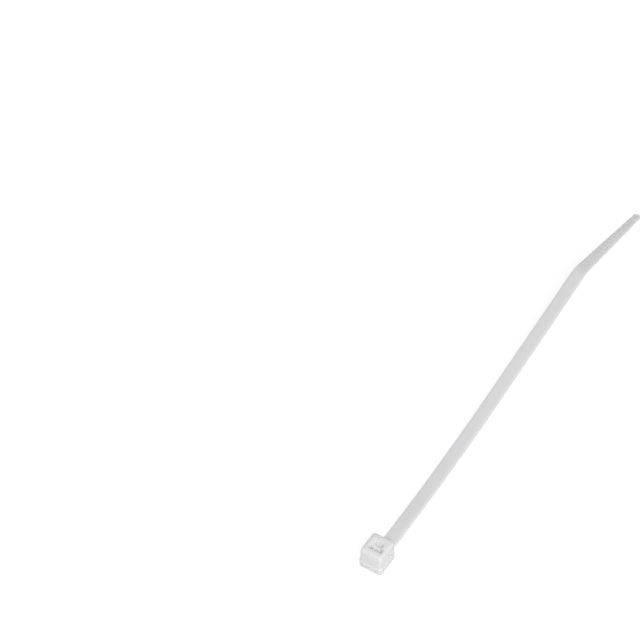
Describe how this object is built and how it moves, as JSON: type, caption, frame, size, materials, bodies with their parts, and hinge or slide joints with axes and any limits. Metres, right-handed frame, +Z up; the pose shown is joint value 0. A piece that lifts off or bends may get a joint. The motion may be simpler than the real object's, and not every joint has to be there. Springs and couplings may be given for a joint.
{
  "type": "cable tie",
  "caption": "Self-locking cable tie: flat strap with ladder teeth underneath, square head with a slot and toothed pawl, and a tapered ribbed tail that is bent down.",
  "frame": {"origin": "middle of the strap slot, on the entry face of the head, which rests on the table", "axes": "+X from the head along the strap towards the tail, +Y across the strap, +Z up out of the exit face of the head"},
  "size_m": [0.1976, 0.0088, 0.0144],
  "materials": {
    "natural_nylon": "milky natural nylon, slightly translucent, soft sheen as moulded"
  },
  "bodies": {
    "root": {"cable_tie": "natural_nylon"}
  },
  "joints": []
}
